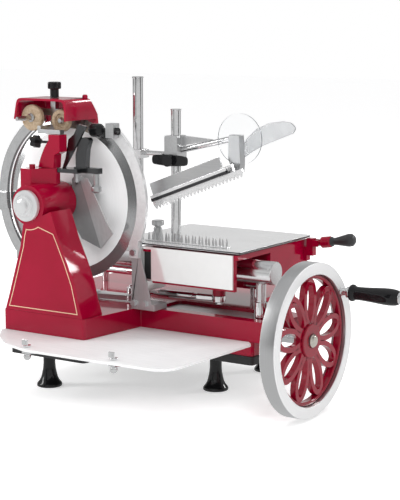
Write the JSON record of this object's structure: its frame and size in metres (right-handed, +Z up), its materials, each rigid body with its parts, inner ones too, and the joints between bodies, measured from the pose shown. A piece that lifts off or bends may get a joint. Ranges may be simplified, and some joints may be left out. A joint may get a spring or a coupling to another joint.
{
  "type": "hand crank meat slicer",
  "caption": "Hand-cranked flywheel slicer: round blade on a cast tower, sliding carriage with a toothed press, sharpener, receiving tray and spoked wheel on footed base.",
  "frame": {"origin": "middle of the footprint on the floor", "axes": "+X towards the flywheel, -Y towards the receiving tray, +Z up"},
  "size_m": [0.7874, 0.589, 0.585],
  "materials": {
    "red_paint": "glossy deep red enamel with thin cream lines",
    "polished_steel": "polished stainless steel",
    "satin_steel": "turned satin steel",
    "cast_aluminium": "satin cast aluminium",
    "bright_chrome": "bright chrome plate",
    "black_plastic": "black moulded plastic",
    "black_pan": "black painted sheet",
    "clear_plastic": "clear acrylic",
    "grinding_stone": "coarse tan abrasive",
    "dark_steel": "dark oiled steel"
  },
  "bodies": {
    "base": {"base_casting": "red_paint", "base_pan": "black_pan", "deck_plate": "satin_steel", "foot_front_left": "black_plastic", "foot_front_right": "black_plastic", "foot_rear_right": "black_plastic", "foot_rear_left": "black_plastic", "receiving_tray": "polished_steel", "tray_clip_left": "bright_chrome", "tray_clip_right": "bright_chrome", "tower_column": "red_paint", "shaft_cap": "cast_aluminium", "guide_rod": "polished_steel", "rod_column": "bright_chrome", "rear_rail": "bright_chrome", "guard_ring_right": "polished_steel", "guard_ring_left": "polished_steel", "guard_bracket": "bright_chrome", "deflector_bracket": "black_plastic", "drive_chain": "dark_steel", "sharpener_arm": "red_paint"},
    "wheel": {"wheel_rim": "satin_steel", "wheel_spider": "red_paint", "hub_cap": "bright_chrome", "main_shaft": "satin_steel", "handle_spindle": "bright_chrome"},
    "crank_grip": {"handle_grip": "black_plastic"},
    "cross": {"cross_shaft": "satin_steel"},
    "crank_arm": {"crank": "satin_steel"},
    "blade_unit": {"blade_shaft": "satin_steel", "blade": "polished_steel"},
    "carriage_unit": {"carriage": "red_paint", "carriage_panel": "polished_steel"},
    "rod": {"connecting_rod": "polished_steel"},
    "plate": {"food_plate": "polished_steel", "post_left": "bright_chrome", "post_right": "bright_chrome", "plate_stud": "satin_steel", "spike_bar": "polished_steel"},
    "feed": {"feed_screw": "satin_steel"},
    "lever": {"feed_lever": "red_paint", "lever_grip": "black_plastic"},
    "press": {"press_block": "cast_aluminium", "press_arm": "polished_steel", "post_clamp": "polished_steel", "press_bracket": "clear_plastic", "hand_guard": "clear_plastic", "paddle_handle": "clear_plastic"},
    "wing": {"wing_knob": "black_plastic"},
    "press_foot": {"press_plate": "polished_steel", "press_teeth": "dark_steel"},
    "deflector": {"slice_deflector": "polished_steel"},
    "ring_knob": {"guard_knob": "black_plastic"},
    "plate_knob": {"deflector_knob": "black_plastic"},
    "sharpener": {"sharpener_hood": "red_paint", "sharpener_body": "cast_aluminium"},
    "front_stone": {"stone_front": "grinding_stone"},
    "rear_stone": {"stone_rear": "grinding_stone"},
    "top_knob": {"sharpener_top_knob": "black_plastic"},
    "lift_knob": {"lobed_knob": "black_plastic"}
  },
  "joints": [
    {"name": "wheel_spin", "type": "hinge", "parent": "base", "child": "wheel", "pos_m": [0.2523, -0.0115, 0.141], "axis": [1, 0, 0], "continuous": true},
    {"name": "grip_spin", "type": "hinge", "parent": "wheel", "child": "crank_grip", "pos_m": [0.3403, 0.08149, 0.21365], "axis": [1, 0, 0], "continuous": true},
    {"name": "cross_spin", "type": "hinge", "parent": "base", "child": "cross", "pos_m": [-0.1457, -0.0855, 0.141], "axis": [0, 1, 0], "continuous": true},
    {"name": "crank_spin", "type": "hinge", "parent": "base", "child": "crank_arm", "pos_m": [-0.2107, -0.0115, 0.16], "axis": [0, 0, 1], "continuous": true},
    {"name": "blade_spin", "type": "hinge", "parent": "base", "child": "blade_unit", "pos_m": [-0.2177, -0.0575, 0.36], "axis": [0, 1, 0], "continuous": true},
    {"name": "carriage_slide", "type": "slide", "parent": "base", "child": "carriage_unit", "axis": [1, 0, 0], "range_m": [-0.18, 0]},
    {"name": "rod_swing", "type": "hinge", "parent": "carriage_unit", "child": "rod", "pos_m": [0.05751, 0.0195, 0.188], "axis": [0, 0, 1], "range_deg": [-29, 14]},
    {"name": "plate_feed", "type": "slide", "parent": "carriage_unit", "child": "plate", "axis": [0, 1, 0], "range_m": [0, 0.11]},
    {"name": "feed_screw_spin", "type": "hinge", "parent": "carriage_unit", "child": "feed", "pos_m": [0.1003, 0.0945, 0.2755], "axis": [0, 1, 0], "continuous": true},
    {"name": "lever_tilt", "type": "hinge", "parent": "carriage_unit", "child": "lever", "pos_m": [0.1633, 0.191, 0.277], "axis": [0, 1, 0], "range_deg": [-20, 20]},
    {"name": "press_slide", "type": "slide", "parent": "plate", "child": "press", "axis": [0, 0, 1], "range_m": [-0.024, 0.04]},
    {"name": "wing_knob_spin", "type": "hinge", "parent": "press", "child": "wing", "pos_m": [-0.0227, -0.0255, 0.438], "axis": [0, 1, 0], "continuous": true},
    {"name": "press_tilt", "type": "hinge", "parent": "press", "child": "press_foot", "pos_m": [0.1103, -0.0255, 0.43], "axis": [0, 1, 0], "range_deg": [-6, 2]},
    {"name": "deflector_swing", "type": "hinge", "parent": "base", "child": "deflector", "pos_m": [-0.1777, -0.0935, 0.405], "axis": [0, 0, 1], "range_deg": [-22, 0]},
    {"name": "guard_knob_spin", "type": "hinge", "parent": "base", "child": "ring_knob", "pos_m": [-0.1457, -0.0725, 0.49], "axis": [1, 0, 0], "continuous": true},
    {"name": "deflector_knob_spin", "type": "hinge", "parent": "base", "child": "plate_knob", "pos_m": [-0.1307, -0.0955, 0.39], "axis": [0, 0, 1], "continuous": true},
    {"name": "sharpener_lift", "type": "slide", "parent": "base", "child": "sharpener", "axis": [0, 0, 1], "range_m": [0, 0.015]},
    {"name": "front_stone_spin", "type": "hinge", "parent": "sharpener", "child": "front_stone", "pos_m": [-0.2707, -0.1015, 0.51], "axis": [0, 1, 0], "continuous": true},
    {"name": "rear_stone_spin", "type": "hinge", "parent": "sharpener", "child": "rear_stone", "pos_m": [-0.2127, -0.0895, 0.506], "axis": [0, 1, 0], "continuous": true},
    {"name": "top_knob_spin", "type": "hinge", "parent": "sharpener", "child": "top_knob", "pos_m": [-0.2357, -0.0815, 0.56], "axis": [0, 0, 1], "continuous": true},
    {"name": "lift_knob_spin", "type": "hinge", "parent": "base", "child": "lift_knob", "pos_m": [-0.2527, -0.1165, 0.468], "axis": [1, 0, 0], "continuous": true}
  ],
  "couplings": [
    {"joint": "cross_spin", "follows": "wheel_spin", "ratio": 1},
    {"joint": "crank_spin", "follows": "wheel_spin", "ratio": 1},
    {"joint": "blade_spin", "follows": "wheel_spin", "ratio": 2},
    {"joint": "feed_screw_spin", "follows": "plate_feed", "rad_per_m": 628.32}
  ]
}
